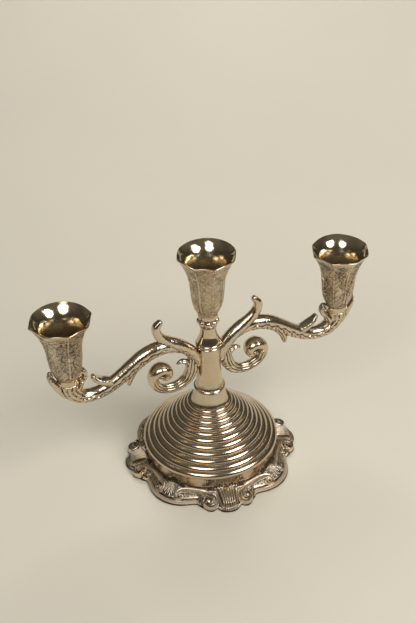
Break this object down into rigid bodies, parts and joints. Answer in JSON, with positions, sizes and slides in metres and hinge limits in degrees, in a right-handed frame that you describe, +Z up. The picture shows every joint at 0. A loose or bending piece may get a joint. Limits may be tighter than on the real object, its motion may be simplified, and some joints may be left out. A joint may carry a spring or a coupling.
{
  "type": "three-light candelabrum",
  "caption": "Table candelabrum: stepped round base with a scrolled cast border, turned column, scroll arms and tulip-shaped candle cups that unscrew.",
  "frame": {"origin": "centre of the base on the table surface, under the column's axis", "axes": "+Z up along the column; +X along the right arm to its cup; +Y completes the right-handed frame, towards the back"},
  "size_m": [0.279, 0.1464, 0.2007],
  "materials": {
    "silver_polished": "polished warm silver plate with a light tarnish in the grooves",
    "silver_antique": "cast and chased silver plate with dark patina in the recesses",
    "steel_hardware": "plain threaded steel, zinc plated",
    "brass_bush": "turned brass, unpolished"
  },
  "bodies": {
    "base": {"base_border": "silver_antique", "base_dome": "silver_polished", "base_collar": "silver_polished", "tie_rod": "steel_hardware", "clamp_washer": "steel_hardware", "clamp_nut": "steel_hardware"},
    "branch": {"lower_ring": "silver_polished", "column_sleeve": "silver_polished", "sleeve_bush_lower": "brass_bush", "sleeve_bush_upper": "brass_bush", "upper_ring": "silver_polished", "column_neck": "silver_polished", "beaded_knop": "silver_polished", "arm_right": "silver_antique", "arm_left": "silver_antique", "stud_right": "steel_hardware", "stud_left": "steel_hardware"},
    "cup_centre": {"cup_centre": "silver_antique"},
    "cup_right": {"cup_right": "silver_antique"},
    "cup_left": {"cup_left": "silver_antique"}
  },
  "joints": [
    {"name": "branch_swivel", "type": "hinge", "parent": "base", "child": "branch", "pos_m": [0, 0, 0.09], "axis": [0, 0, 1], "continuous": true},
    {"name": "cup_centre_thread", "type": "hinge", "parent": "base", "child": "cup_centre", "pos_m": [0, 0, 0.148], "axis": [0, 0, 1], "range_deg": [0, 1440]},
    {"name": "cup_right_thread", "type": "hinge", "parent": "branch", "child": "cup_right", "pos_m": [0.1162, 0, 0.12], "axis": [0, 0, 1], "range_deg": [0, 1440]},
    {"name": "cup_left_thread", "type": "hinge", "parent": "branch", "child": "cup_left", "pos_m": [-0.1162, 0, 0.12], "axis": [0, 0, 1], "range_deg": [0, 1440]}
  ]
}
